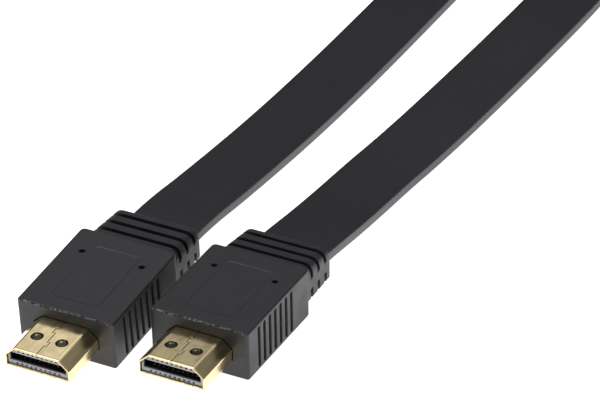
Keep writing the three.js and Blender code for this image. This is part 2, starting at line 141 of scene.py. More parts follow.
class OvermouldSizes(bpy.types.PropertyGroup):
    """Moulded body of a plug and the strain relief behind it"""

    width: length("Width", 20.7, "Body from side to side")
    height: length("Height", 10.4, "Body from base to top")
    depth: length("Length", 24.9, "Body from front face to rear face")
    front_corner: length("Front corner", 0.6, "Radius of the upright front corners")
    rear_corner: length("Rear corner", 1.0, "Radius of the upright rear corners")
    edge: length("Edge", 0.4, "Rounding of the top and bottom edges")
    grips: count("Grips", 7, "Grip grooves on each side")
    grip_first: length("First grip", 4.4, "First groove from the front face")
    grip_pitch: length("Grip pitch", 2.15, "From one groove to the next")
    grip_width: length("Grip width", 0.95, "Width of a groove")
    grip_depth: length("Grip depth", 0.8, "Depth of a groove")
    grip_margin: length("Grip margin", 0.75, "From a groove's end to the top or base")
    edge_flaws: length("Edge flaws", 0.035, "Unevenness of the front top edge")
    parting_line: length("Parting line", 0.035, "How far the mould's parting line stands out")
    panel_width: length("Panel width", 10.4, "Bare panel in the top")
    panel_length: length("Panel length", 17.0, "Bare panel along the top")
    panel_from_rear: length("Panel from rear", 4.2, "Panel's end from the rear face")
    panel_corner: length("Panel corner", 1.4, "Radius of the panel's corners")
    panel_depth: length("Panel depth", 0.08, "How deep the panel lies")
    pin_radius: length("Pin hole radius", 0.55, "Holes left by the mould's locating pins")
    pin_depth: length("Pin hole depth", 1.6, "Depth of the pin holes")
    pin_spacing: length("Pin hole spacing", 13.0, "Between the two pin holes")
    pin_from_rear: length("Pin hole from rear", 6.8, "Pin holes from the rear face")
    relief_length: length("Relief length", 10.6, "Strain relief behind the body")
    relief_seated: length("Relief seated", 1.0, "Strain relief inside the body")
    relief_root_width: length("Relief root width", 19.0, "Relief's width at the body")
    relief_end_width: length("Relief end width", 18.4, "Relief's width at the cord")
    relief_bottom: length("Relief bottom", 1.6, "Height of the relief's underside")
    relief_root_top: length("Relief root top", 9.65, "Height of the relief's top at its root")
    relief_end_top: length("Relief end top", 8.3, "Height of the relief's top at the cord")
    relief_top_corner: length("Relief top corner", 2.2, "Rounding of the relief's upper long edges")
    relief_bottom_corner: length("Relief bottom corner", 0.8, "Rounding of its lower long edges")
    relief_grooves: count("Relief grooves", 3, "Grooves round the relief")
    relief_first: length("First relief groove", 2.65, "First groove from the body")
    relief_pitch: length("Relief pitch", 2.95, "From one groove to the next")
    relief_groove_width: length("Relief groove width", 1.0, "Width of a groove")
    relief_groove_depth: length("Relief groove depth", 1.0, "Depth of a groove")
    relief_land: length("Relief land", 2.4, "Uncut band at mid height on both sides")


class ShellSizes(bpy.types.PropertyGroup):
    """Folded metal shell of a plug"""

    width: length("Width", 13.9, "Wide lower side")
    narrow_width: length("Narrow width", 9.75, "Narrow upper side")
    height: length("Height", 4.45, "From bottom to top")
    shoulder: length("Shoulder", 1.9, "Height of the slanted shoulders")
    wall: length("Wall", 0.4, "Thickness of the sheet with its rolled lip")
    exposed: length("Exposed length", 10.9, "From the mouth to the body")
    seated: length("Seated length", 2.7, "Inside the body")
    raised: length("Raised", 0.55, "Middle of the shell above the body's middle")
    corner: length("Corner", 0.28, "Rounding of the long edges")
    seat_gap: length("Seat gap", 0.12, "Gap between the body and the shell")
    dimple_radius: length("Dimple radius", 1.2, "Pressed dimples in the top")
    dimple_depth: length("Dimple depth", 0.3, "How deep a dimple is")
    dimple_spacing: length("Dimple spacing", 5.3, "Between the two dimples")
    dimple_from_body: length("Dimple from body", 5.8, "Dimples from the body")
    seam_width: length("Seam width", 0.09, "Gap of the folded seam")
    seam_depth: length("Seam depth", 0.07, "Depth of the folded seam")
    lip_line: length("Lip line", 0.5, "Dark line behind the lip, from the mouth")
    dovetail_reach: length("Dovetail reach", 0.55, "How far a dovetail reaches over the seam")
    dovetail_neck: length("Dovetail neck", 1.1, "Narrow end of a dovetail")
    dovetail_flare: length("Dovetail flare", 0.22, "How much a dovetail widens on each side")


class CordSizes(bpy.types.PropertyGroup):
    """Ribbon-shaped cord, its coil and the strap"""

    width: length("Width", 14.8, "Ribbon from edge to edge")
    thickness: length("Thickness", 2.1, "Ribbon from face to face")
    edge: length("Edge", 0.35, "Rounding of the ribbon's edges")
    whole: length("Whole length", 1500, "From one strain relief to the other")
    hidden: length("Hidden length", 1.5, "Length inside each strain relief")
    twist_a_start: length("Twist A start", 140, "Where lead A starts to turn on edge")
    twist_a_length: length("Twist A length", 46, "Length over which lead A turns on edge")
    twist_b_start: length("Twist B start", 150, "Where lead B starts to turn on edge")
    twist_b_length: length("Twist B length", 40, "Length over which lead B turns on edge")
    coil_x: position("Coil X", -69.74, "Middle of the coil")
    coil_y: length("Coil Y", 200, "Middle of the coil")
    coil_height: length("Coil height", 8.5, "Middle of the ribbon in the coil, above the floor")
    bore: length("Bore", 42, "Radius of the innermost turn")
    pitch: length("Pitch", 5.1, "From one strand to the next")
    turns_a: number("Turns A", 1.337, "Turns of the strand from plug A")
    turns_b: number("Turns B", 1.837, "Turns of the strand from plug B")
    slack: length("Slack", 0.3, "Room beside the bundle")
    strap_angle: angle("Strap angle", 60, "Where the strap holds the bundle")
    strap_width: length("Strap width", 9, "Strap along the cord")
    strap_thickness: length("Strap thickness", 0.7, "Strap's own thickness")
    strap_corner: length("Strap corner", 1.6, "Rounding of the strap's bends")
    strap_ease: length("Strap ease", 0.8, "Room inside the strap")
    strap_top: length("Strap top", 16.4, "Height of the strap's inner top side")
    strap_overlap: number("Strap overlap", 0.34, "Share of a turn by which the strap overlaps")
    pinch: number("Pinch", 0.5, "How much the strap draws the strands together")
    pinch_spread: angle("Pinch spread", 20, "Angle over which the strands draw together")


class PlugPlacing(bpy.types.PropertyGroup):
    """How plug A lies beside plug B"""

    side_gap: length("Side gap", 3.35, "Between the two bodies")
    forward: length("Forward", 7.5, "How far plug A lies in front of plug B")
    tip: angle("Tip", 3.8, "How far plug A's nose is tipped down")


class Finishes(bpy.types.PropertyGroup):
    """Colours of the finishes"""

    moulding: colour("Moulding", 0.0125, 0.013, 0.0155, "Black moulded plastic")
    jacket: colour("Jacket", 0.0115, 0.012, 0.014, "Satin jacket of the cord")
    plating: colour("Plating", 0.94, 0.78, 0.45, "Gold plating of the shells")
    contact: colour("Contact", 0.62, 0.5, 0.26, "Plating of the contacts")
    insulator: colour("Insulator", 0.36, 0.36, 0.4, "Grey insulator")
    strap: colour("Strap", 0.012, 0.012, 0.014, "Woven strap")
    floor: colour("Floor", 0.86, 0.86, 0.86, "Plain pale floor")


class StudioSettings(bpy.types.PropertyGroup):
    """Camera and light"""

    azimuth: angle("Azimuth", 27.99, "Camera's turn round the object, from straight in front")
    elevation: angle("Elevation", 32.18, "Camera's height over the floor")
    roll: angle("Roll", -1.1, "Camera's turn about its own axis")
    distance: length("Distance", 795, "From the camera to the point that it looks at")
    target_x: position("Target X", -10.0, "Point looked at")
    target_y: length("Target Y", 47.35, "Point looked at")
    target_z: length("Target Z", 0.3, "Point looked at")
    lens: number("Lens", 240.0, "Focal length in millimetres")
    sensor: number("Sensor", 36.0, "Sensor's width in millimetres")
    floor_size: length("Floor size", 6000, "Side of the floor")
    floor_glow: number("Floor glow", 1.0, "Light that the lit floor gives off by itself")
    key_power: power("Key light", 4.0, "Soft light from above")
    glint_power: power("Glint light", 1.2, "Small light that draws glints")
    back_power: power("Back light", 0.33, "Card behind, which plug A's shell mirrors")


def smoothstep(value):
    value = np.clip(value, 0.0, 1.0)
    return value * value * (3.0 - 2.0 * value)


def spread(*stretches):
    """Places from stretches of (start, end, step), each end kept once."""
    places = [stretches[0][0]]
    for start, end, step in stretches:
        steps = max(1, round(abs(end - start) / step))
        places.extend(np.linspace(start, end, steps + 1)[1:])
    return np.array(places)


class Skin:
    """Points and faces of one closed surface, gathered in patches and welded at the end."""

    def __init__(self):
        self.points = []
        self.faces = []
        self.notes = []
        self.total = 0

    def patch(self, grid, closed=False, notes=None):
        """Adds rows of points as quads; a closed patch joins its last column to its first."""
        rows, columns = grid.shape[:2]
        index = np.arange(rows * columns).reshape(rows, columns) + self.total
        if closed:
            index = np.hstack([index, index[:, :1]])
        quads = np.stack([index[:-1, :-1], index[:-1, 1:], index[1:, 1:], index[1:, :-1]], axis=-1)
        self.faces.extend(quads.reshape(-1, 4).tolist())
        self.points.append(grid.reshape(-1, 3))
        self.notes.append(np.zeros((rows * columns, 3)) if notes is None else notes.reshape(-1, 3))
        self.total += rows * columns

    def cap(self, ring, notes=None):
        """Closes a ring of points with one face."""
        self.faces.append(list(range(self.total, self.total + len(ring))))
        self.points.append(ring)
        self.notes.append(np.zeros((len(ring), 3)) if notes is None else notes)
        self.total += len(ring)

    def tube(self, rings, notes=None):
        """Rings of points as a closed skin with a face over each end."""
        self.patch(rings, closed=True, notes=notes)
        for end in (0, -1):
            self.cap(rings[end], None if notes is None else notes[end])
        return self

    def build(self, name):
        mesh = bpy.data.meshes.new(name)
        mesh.from_pydata(np.vstack(self.points).tolist(), [], self.faces)
        lay = mesh.attributes.new("lay", "FLOAT_VECTOR", "POINT")
        lay.data.foreach_set("vector", np.vstack(self.notes).astype(np.float32).ravel())
        shape = bmesh.new()
        shape.from_mesh(mesh)
        bmesh.ops.remove_doubles(shape, verts=shape.verts, dist=0.0005 * MM)
        bmesh.ops.recalc_face_normals(shape, faces=shape.faces)
        shape.to_mesh(mesh)
        shape.free()
        piece = bpy.data.objects.new(name, mesh)
        bpy.context.scene.collection.objects.link(piece)
        return piece


def smooth(piece, sharp_degrees):
    """Smooth shading that breaks at edges sharper than the given angle."""
    piece.data.shade_smooth()
    piece.data.set_sharp_from_angle(angle=math.radians(sharp_degrees))


def combine(piece, tool, operation):
    """Joins a tool to a piece or cuts it away, and removes the tool."""
    modifier = piece.modifiers.new(operation, "BOOLEAN")
    modifier.operation = operation
    modifier.solver = "EXACT"
    modifier.object = tool
    bpy.context.view_layer.update()
    result = bpy.data.meshes.new_from_object(piece.evaluated_get(bpy.context.evaluated_depsgraph_get()))
    piece.modifiers.clear()
    piece.data = result
    bpy.data.objects.remove(tool)


def rounded_section(corners, radii, sides, steps):
    """Points and outward normals of a polygon with rounded corners, given counter-clockwise.

    radii is one radius or one for each corner. sides has, for each side, the shares of its straight part
    at which it has points.
    """
    corners = np.array(corners, float)
    radii = np.broadcast_to(radii, len(corners))
    points = []
    normals = []
    total = len(corners)
    for i in range(total):
        corner = corners[i]
        back = corners[i - 1] - corner
        ahead = corners[(i + 1) % total] - corner
        cut = min(radii[i], 0.45 * np.linalg.norm(back), 0.45 * np.linalg.norm(ahead))
        start = corner + back * cut / np.linalg.norm(back)
        end = corner + ahead * cut / np.linalg.norm(ahead)
        for share in np.linspace(0.0, 1.0, steps + 1):
            points.append((1 - share) ** 2 * start + 2 * share * (1 - share) * corner + share**2 * end)
            way = (1 - share) * (corner - start) + share * (end - corner)
            normals.append(np.array([way[1], -way[0]]) / np.linalg.norm(way))
        after = corners[(i + 2) % total] - corners[(i + 1) % total]
        next_cut = min(radii[(i + 1) % total], 0.45 * np.linalg.norm(ahead), 0.45 * np.linalg.norm(after))
        next_start = corners[(i + 1) % total] - ahead * next_cut / np.linalg.norm(ahead)
        for share in sides[i][1:-1]:
            points.append(end + (next_start - end) * share)
            normals.append(np.array([ahead[1], -ahead[0]]) / np.linalg.norm(ahead))
    return np.array(points), np.array(normals)


def rectangle(half_width, low, high):
    return [(-half_width, low), (half_width, low), (half_width, high), (-half_width, high)]


def ring_at(y, x, z):
    """A ring of points in an upright plane across the plug."""
    return np.stack([x, np.full(len(x), y), z], axis=-1)


def sweep(name, path, across, section):
    """A section swept along a path. across is the direction of the section's width at each point."""
    path = np.array(path)
    across = np.array(across)
    tangents = np.gradient(path, axis=0)
    tangents /= np.linalg.norm(tangents, axis=1)[:, None]
    above = np.cross(across, tangents)
    above /= np.linalg.norm(above, axis=1)[:, None]
    rings = (
        path[:, None, :]
        + across[:, None, :] * section[None, :, 0, None]
        + above[:, None, :] * section[None, :, 1, None]
    )
    run = np.concatenate([[0.0], np.cumsum(np.linalg.norm(np.diff(path, axis=0), axis=1))])
    notes = np.empty(rings.shape)
    notes[..., 0] = section[None, :, 0]
    notes[..., 1] = run[:, None]
    notes[..., 2] = section[None, :, 1]
    return Skin().tube(rings, notes).build(name)


class Finish:
    """A material under construction: a Principled shader and the nodes that feed it."""

    def __init__(self, name, colour, roughness, metallic=0.0, ior=1.5):
        self.material = bpy.data.materials.new(name)
        self.material.use_nodes = True
        self.tree = self.material.node_tree
        self.shader = self.tree.nodes["Principled BSDF"]
        self.shader.inputs["Base Color"].default_value = (*colour, 1.0)
        self.shader.inputs["Roughness"].default_value = roughness
        self.shader.inputs["Metallic"].default_value = metallic
        self.shader.inputs["IOR"].default_value = ior
        self.material.diffuse_color = (*colour, 1.0)

    def node(self, kind, inputs=(), **settings):
        node = self.tree.nodes.new(kind)
        for key, value in settings.items():
            setattr(node, key, value)
        for key, value in dict(inputs).items():
            if isinstance(value, bpy.types.NodeSocket):
                self.tree.links.new(value, node.inputs[key])
            else:
                node.inputs[key].default_value = value
        return node

    def places(self, scale=(1.0, 1.0, 1.0), attribute=None):
        """Coordinates in metres on the piece itself, or along a swept piece, stretched by scale."""
        if attribute:
            source = self.node("ShaderNodeAttribute", attribute_name=attribute).outputs["Vector"]
        else:
            source = self.node("ShaderNodeTexCoord").outputs["Object"]
        return self.node("ShaderNodeMapping", {"Vector": source, "Scale": scale}).outputs["Vector"]

    def noise(self, places, scale, detail=2.0):
        inputs = {"Vector": places, "Scale": scale, "Detail": detail}
        return self.node("ShaderNodeTexNoise", inputs).outputs["Fac"]

    def spread(self, value, low, high, start=0.0, end=1.0):
        """value from low..high turned into start..end."""
        inputs = {"Value": value, "From Min": low, "From Max": high, "To Min": start, "To Max": end}
        return self.node("ShaderNodeMapRange", inputs).outputs["Result"]

    def channel(self, attribute, axis):
        """One number of a point attribute."""
        source = self.node("ShaderNodeAttribute", attribute_name=attribute).outputs["Vector"]
        return self.node("ShaderNodeSeparateXYZ", {0: source}).outputs[axis]

    def depth(self, axis):
        """How far a place on the piece lies along a direction, in metres from the origin."""
        source = self.node("ShaderNodeTexCoord").outputs["Object"]
        inputs = {0: source, 1: axis}
        return self.node("ShaderNodeVectorMath", inputs, operation="DOT_PRODUCT").outputs["Value"]

    def tint(self, share, other):
        """Turns the base colour towards another colour where share is high."""
        mix = self.node("ShaderNodeMix", {"Factor": share}, data_type="RGBA")
        current = self.shader.inputs["Base Color"]
        if current.is_linked:
            self.tree.links.new(current.links[0].from_socket, mix.inputs[6])
        else:
            mix.inputs[6].default_value = tuple(current.default_value)
        mix.inputs[7].default_value = (*other, 1.0)
        self.tree.links.new(mix.outputs[2], current)

    def roughness(self, value):
        self.tree.links.new(value, self.shader.inputs["Roughness"])

    def relief(self, height, depth, strength=1.0):
        """Adds a bump of the given depth in metres over the bumps so far."""
        bump = self.node("ShaderNodeBump", {"Height": height, "Distance": depth, "Strength": strength})
        current = self.shader.inputs["Normal"]
        if current.is_linked:
            self.tree.links.new(current.links[0].from_socket, bump.inputs["Normal"])
        self.tree.links.new(bump.outputs["Normal"], current)


def scaled(colour, factor):
    return tuple(min(1.0, channel * factor) for channel in colour)


def moulding_finish(colours, height, edge):
    """Black moulded plastic: fine eroded grain, cloudiness, dust and painted glints in specks along the front
    top edge.
    """
    finish = Finish("moulded_black_plastic", colours.moulding, 0.42)
    places = finish.places()
    cloud = finish.noise(places, 220.0, 3.0)
    grain = finish.noise(places, 5200.0, 3.0)
    dust = finish.spread(finish.noise(places, 1900.0, 1.0), 0.79, 0.84)
    finish.tint(finish.spread(cloud, 0.35, 0.7, 0.0, 0.6), scaled(colours.moulding, 1.5))
    finish.tint(dust, (0.11, 0.11, 0.12))
    # Painted highlight: light grey specks along the front top edge stand in for glints of light.
    on_edge = finish.spread(finish.depth((0.0, 1.0, -1.0)), -height + 0.2 * edge, -height + edge, 1.0, 0.0)
    glint_specks = finish.spread(finish.noise(places, 2600.0, 2.0), 0.5, 0.62)
    painted_edge_glints = finish.node("ShaderNodeMath", {0: on_edge, 1: glint_specks}, operation="MULTIPLY").outputs[0]
    finish.tint(painted_edge_glints, (0.34, 0.34, 0.36))
    finish.roughness(finish.spread(cloud, 0.3, 0.7, 0.38, 0.5))
    finish.relief(cloud, 0.05 * MM, 0.35)
    finish.relief(grain, 0.012 * MM, 0.9)
    return finish.material


def jacket_finish(colours, half_width):
    """Extruded satin jacket: faint lines along the cord, a fine skin, slight waves and a painted highlight
    along both rounded edges.
    """
    finish = Finish("satin_cord_jacket", colours.jacket, 0.4, ior=1.43)
    lines = finish.noise(finish.places((900.0, 7.0, 900.0), "lay"), 1.0, 3.0)
    waves = finish.noise(finish.places((60.0, 45.0, 60.0), "lay"), 1.0, 2.0)
    skin = finish.noise(finish.places(attribute="lay"), 4200.0, 2.0)
    dust = finish.spread(finish.noise(finish.places(attribute="lay"), 1300.0, 1.0), 0.8, 0.85)
    finish.tint(finish.spread(waves, 0.3, 0.7, 0.0, 0.5), scaled(colours.jacket, 1.45))
    finish.tint(dust, (0.1, 0.1, 0.11))
    # Painted highlight: the outer strip of both rounded edges is tinted lighter, standing in for light caught
    # by the edges.
    across = finish.node("ShaderNodeMath", {0: finish.channel("lay", 0)}, operation="ABSOLUTE").outputs[0]
    finish.tint(finish.spread(across, half_width - 0.25 * MM, half_width - 0.08 * MM), (0.05, 0.052, 0.056))
    finish.roughness(finish.spread(lines, 0.3, 0.7, 0.36, 0.46))
    finish.relief(waves, 0.12 * MM, 0.5)
    finish.relief(lines, 0.015 * MM, 0.6)
    finish.relief(skin, 0.008 * MM, 0.8)
    return finish.material


def plating_finish(colours):
    """Gold plating on folded sheet: rolling lines, slight tarnish, uneven gloss and painted shade in the
    dimples.
    """
    finish = Finish("bright_gold_plating", colours.plating, 0.2, metallic=1.0)
    rolled = finish.noise(finish.places((2600.0, 160.0, 2600.0)), 1.0, 3.0)
    tarnish = finish.noise(finish.places(), 420.0, 4.0)
    streaks = finish.noise(finish.places((900.0, 110.0, 900.0)), 1.0, 4.0)
    finish.tint(finish.spread(tarnish, 0.5, 0.75, 0.0, 0.4), (0.66, 0.52, 0.27))
    finish.tint(finish.spread(streaks, 0.48, 0.66, 0.0, 0.45), (0.55, 0.44, 0.25))
    # Painted shade: each dimple's hollow turns near black, save a small spot in it that is left bright as a
    # painted highlight.
    finish.tint(finish.spread(finish.channel("lay", 0), 0.0, 1.0, 0.0, 0.97), (0.05, 0.046, 0.035))
    finish.tint(finish.spread(finish.channel("lay", 1), 0.2, 0.8, 0.0, 0.95), (0.03, 0.022, 0.01))
    finish.roughness(finish.spread(tarnish, 0.3, 0.7, 0.12, 0.26))
    finish.relief(tarnish, 0.02 * MM, 0.5)
    finish.relief(rolled, 0.008 * MM, 0.8)
    return finish.material


def contact_finish(colours):
    """Gold flash on stamped contacts, duller than the shell."""
    finish = Finish("gold_flashed_contact", colours.contact, 0.3, metallic=1.0)
    stamped = finish.noise(finish.places((3000.0, 300.0, 3000.0)), 1.0, 3.0)
    finish.tint(finish.spread(stamped, 0.45, 0.7, 0.0, 0.5), scaled(colours.contact, 0.6))
    finish.roughness(finish.spread(stamped, 0.3, 0.7, 0.24, 0.42))
    finish.relief(stamped, 0.006 * MM, 0.6)
    return finish.material


def insulator_finish(colours, axis, face):
    """Grey moulded insulator with a glass-fibre grain, in shade behind its front face."""
    finish = Finish("grey_insulator", colours.insulator, 0.5)
    places = finish.places()
    fibre = finish.noise(finish.places((2200.0, 500.0, 2200.0)), 1.0, 3.0)
    cloud = finish.noise(places, 900.0, 3.0)
    inside = finish.spread(finish.depth(axis), face + 0.06 * MM, face + 0.5 * MM)
    finish.tint(finish.spread(cloud, 0.4, 0.7, 0.0, 0.5), scaled(colours.insulator, 0.72))
    finish.tint(inside, (0.004, 0.004, 0.005))
    finish.roughness(finish.spread(fibre, 0.3, 0.7, 0.42, 0.6))
    finish.relief(fibre, 0.01 * MM, 0.7)
    return finish.material


def strap_finish(colours):
    """Woven nylon strap: crossing threads with a soft sheen."""
    finish = Finish("woven_strap", colours.strap, 0.8)
    finish.shader.inputs["Sheen Weight"].default_value = 0.25
    finish.shader.inputs["Sheen Roughness"].default_value = 0.4
    along = finish.node(
        "ShaderNodeTexWave",
        {"Vector": finish.places((1.0, 1.0, 0.0), "lay"), "Scale": 420.0, "Distortion": 0.4},
        bands_direction="Y",
    ).outputs["Fac"]
    crosswise = finish.node(
        "ShaderNodeTexWave",
        {"Vector": finish.places((1.0, 1.0, 0.0), "lay"), "Scale": 300.0, "Distortion": 0.4},
        bands_direction="X",
    ).outputs["Fac"]
    weave = finish.node("ShaderNodeMath", {0: along, 1: crosswise}, operation="MULTIPLY").outputs[0]
    fuzz = finish.noise(finish.places(attribute="lay"), 6000.0, 3.0)
    finish.tint(finish.spread(weave, 0.2, 0.8, 0.0, 0.8), scaled(colours.strap, 2.4))
    finish.relief(weave, 0.12 * MM, 0.8)
    finish.relief(fuzz, 0.03 * MM, 0.7)
    return finish.material


def floor_finish(colours, glow):
    """Pale lit floor: near white, with a trace of unevenness."""
    finish = Finish("pale_floor", colours.floor, 0.9)
    cloud = finish.noise(finish.places(), 6.0, 2.0)
    finish.tint(finish.spread(cloud, 0.3, 0.7, 0.0, 0.3), scaled(colours.floor, 0.97))
    finish.shader.inputs["Specular IOR Level"].default_value = 0.0
    finish.shader.inputs["Emission Color"].default_value = (1.0, 1.0, 1.0, 1.0)
    finish.shader.inputs["Emission Strength"].default_value = glow
    return finish.material


def body_stations(s):
    """Places along the body's side, with fine steps at the grooves and at the panel's ends."""
    half = s.grip_width / 2
    stretches = []
    here = s.front_corner
    panel_rear = s.depth - s.panel_from_rear
    for i in range(s.grips):
        middle = s.grip_first + i * s.grip_pitch
        stretches.append((here, middle - half - 0.12 * MM, 0.16 * MM))
        stretches.append((middle - half - 0.12 * MM, middle - half + 0.2 * MM, 0.053 * MM))
        stretches.append((middle - half + 0.2 * MM, middle + half - 0.2 * MM, 0.14 * MM))
        stretches.append((middle + half - 0.2 * MM, middle + half + 0.12 * MM, 0.053 * MM))
        here = middle + half + 0.12 * MM
    stretches.append((here, panel_rear - s.panel_corner, 0.2 * MM))
    stretches.append((panel_rear - s.panel_corner, panel_rear + 0.1 * MM, 0.08 * MM))
    stretches.append((panel_rear + 0.1 * MM, s.depth - s.rear_corner, 0.15 * MM))
    return spread(*stretches)


def grip_inset(s, y, z):
    """How far the side is pressed in at a place: upright grooves with round ends."""
    half = s.grip_width / 2
    low = s.grip_margin + half
    high = s.height - s.grip_margin - half
    inset = np.zeros(np.broadcast(y, z).shape)
    for i in range(s.grips):
        away_y = y - (s.grip_first + i * s.grip_pitch)
        away_z = z - np.clip(z, low, high)
        away = np.sqrt(away_y**2 + away_z**2)
        wall = smoothstep((half + 0.05 * MM - away) / (0.16 * MM))
        inset = np.maximum(inset, s.grip_depth * wall)
    return inset


def panel_inset(s, x, y):
    """How far the top is pressed in at a place: one bare panel with rounded corners."""
    middle_y = s.depth - s.panel_from_rear - s.panel_length / 2
    over_x = np.abs(x) - s.panel_width / 2 + s.panel_corner
    over_y = np.abs(y - middle_y) - s.panel_length / 2 + s.panel_corner
    outside = np.hypot(np.maximum(over_x, 0), np.maximum(over_y, 0))
    distance = outside + np.minimum(np.maximum(over_x, over_y), 0) - s.panel_corner
    return s.panel_depth * smoothstep(-distance / (0.22 * MM))


def overmould_body(s):
    """The grip body: a rounded block with its grooves, parting line and panel."""
    turn = np.linspace(0.0, math.pi / 2, 11)
    front_x = s.width / 2 - s.front_corner + s.front_corner * np.sin(turn)
    front_y = s.front_corner - s.front_corner * np.cos(turn)
    rear_x = s.width / 2 - s.rear_corner + s.rear_corner * np.cos(turn)
    rear_y = s.depth - s.rear_corner + s.rear_corner * np.sin(turn)
    straight = body_stations(s)[1:-1]
    side_x = np.concatenate([front_x, np.full(len(straight), s.width / 2), rear_x])
    side_y = np.concatenate([front_y, straight, rear_y])
    side_nx = np.concatenate([np.sin(turn), np.ones(len(straight)), np.cos(turn)])
    side_ny = np.concatenate([-np.cos(turn), np.zeros(len(straight)), np.sin(turn)])

    half_panel = s.panel_width / 2 / (s.width / 2 - s.edge)
    corner = s.panel_corner / (s.width / 2 - s.edge)
    fine = 0.01
    right = spread(
        (0.0, half_panel - corner, 0.1),
        (half_panel - corner, half_panel + fine, fine),
        (half_panel + fine, 1.0, 0.06),
    )
    shares = np.concatenate([-right[:0:-1], right])

    front = shares[1:-1] * side_x[0]
    rear = shares[1:-1] * side_x[-1]
    plan_x = np.concatenate([front, side_x, rear[::-1], -side_x[::-1]])
    front_row = np.full(len(front), side_y[0])
    rear_row = np.full(len(rear), side_y[-1])
    plan_y = np.concatenate([front_row, side_y, rear_row, side_y[::-1]])
    plan_nx = np.concatenate([np.zeros(len(front)), side_nx, np.zeros(len(rear)), -side_nx[::-1]])
    plan_ny = np.concatenate([np.full(len(front), -1.0), side_ny, np.ones(len(rear)), side_ny[::-1]])

    edge_turn = np.linspace(0.0, math.pi / 2, 9)
    edge_inset = s.edge * (1 - np.sin(edge_turn))
    edge_z = s.edge * (1 - np.cos(edge_turn))
    middle = s.height / 2
    rows = spread(
        (s.edge, s.grip_margin + 0.7 * MM, 0.075 * MM),
        (s.grip_margin + 0.7 * MM, middle - 0.2 * MM, 0.5 * MM),
        (middle - 0.2 * MM, middle + 0.2 * MM, 0.05 * MM),
        (middle + 0.2 * MM, s.height - s.grip_margin - 0.7 * MM, 0.5 * MM),
        (s.height - s.grip_margin - 0.7 * MM, s.height - s.edge, 0.075 * MM),
    )[1:-1]
    inset = np.concatenate([edge_inset, np.zeros(len(rows)), edge_inset[::-1]])
    z = np.concatenate([edge_z, rows, s.height - edge_z[::-1]])
    z_grid = np.repeat(z[:, None], len(plan_x), axis=1)
    line = s.parting_line * np.exp(-(((z - middle) / (0.07 * MM)) ** 2))
    total_inset = (inset - line)[:, None] + np.zeros(len(plan_x))[None, :]
    on_side = np.abs(plan_nx) > 0.999
    total_inset += on_side[None, :] * grip_inset(s, plan_y[None, :], z[:, None])
    wall = np.stack(
        [
            plan_x[None, :] - plan_nx[None, :] * total_inset,
            plan_y[None, :] - plan_ny[None, :] * total_inset,
            z_grid,
        ],
        axis=-1,
    )
    rough_front_edge(s, wall)

    skin = Skin()
    skin.patch(wall, closed=True)
    cap_x = (side_x - side_nx * s.edge)[:, None] * shares[None, :]
    cap_y = np.repeat((side_y - side_ny * s.edge)[:, None], len(shares), axis=1)
    top = np.stack([cap_x, cap_y, s.height - panel_inset(s, cap_x, cap_y)], axis=-1)
    bottom = np.stack([cap_x, cap_y, np.zeros(cap_x.shape)], axis=-1)
    skin.patch(top)
    skin.patch(bottom)
    return skin.build("body")


def rough_front_edge(s, wall):
    """Tiny flaws along the front top edge, where the mould's halves met the shell's insert."""
    chance = np.random.default_rng(11)
    on_edge = (wall[..., 1] < s.edge * 0.999) & (wall[..., 2] > s.height - s.edge)
    on_edge &= wall[..., 2] < s.height - 0.02 * MM
    flaws = chance.normal(0.0, s.edge_flaws, wall.shape[:2]) * on_edge
    wall[..., 2] += flaws
    wall[..., 1] -= flaws


def strain_relief(s):
    """The tapered relief, cut by grooves that stop at a land on each side."""
    start = s.depth - s.relief_seated
    stretches = []
    here = start
    half = s.relief_groove_width / 2
    for i in range(s.relief_grooves):
        middle = s.depth + s.relief_first + i * s.relief_pitch
        for edge in (middle - half, middle + half):
            stretches.append((here, edge - 0.15 * MM, 0.4 * MM))
            stretches.append((edge - 0.15 * MM, edge + 0.15 * MM, 0.03 * MM))
            here = edge + 0.15 * MM
    end = s.depth + s.relief_length
    rim = 0.35 * MM
    stretches.append((here, end - rim, 0.3 * MM))
    rim_turn = np.linspace(0.0, math.pi / 2, 6)[1:]
    stations = np.concatenate([spread(*stretches), end - rim + rim * np.sin(rim_turn)])
    rim_inset = np.concatenate([np.zeros(len(stations) - 5), rim * (1 - np.cos(rim_turn))])

    rings = []
    for y, rounding in zip(stations, rim_inset):
        share = (y - start) / (end - start)
        half_width = (s.relief_root_width + (s.relief_end_width - s.relief_root_width) * share) / 2
        top = s.relief_root_top + (s.relief_end_top - s.relief_root_top) * share
        fine = np.linspace(0.0, 1.0, 15)
        coarse = np.linspace(0.0, 1.0, 13)
        points, normals = rounded_section(
            rectangle(half_width, s.relief_bottom, top),
            [s.relief_bottom_corner] * 2 + [s.relief_top_corner] * 2,
            [coarse, fine, coarse, fine],
            16,
        )
        depth = 0.0
        for i in range(s.relief_grooves):
            away = abs(y - (s.depth + s.relief_first + i * s.relief_pitch))
            depth = max(depth, s.relief_groove_depth * smoothstep((half + 0.05 * MM - away) / (0.13 * MM)))
        above_land = np.abs(points[:, 1] - s.height / 2) - s.relief_land / 2
        cut = smoothstep((above_land + 0.1 * MM) / (0.3 * MM))
        points = points - normals * (depth * cut + rounding)[:, None]
        rings.append(ring_at(y, points[:, 0], points[:, 1]))
    return Skin().tube(np.array(rings)).build("relief")


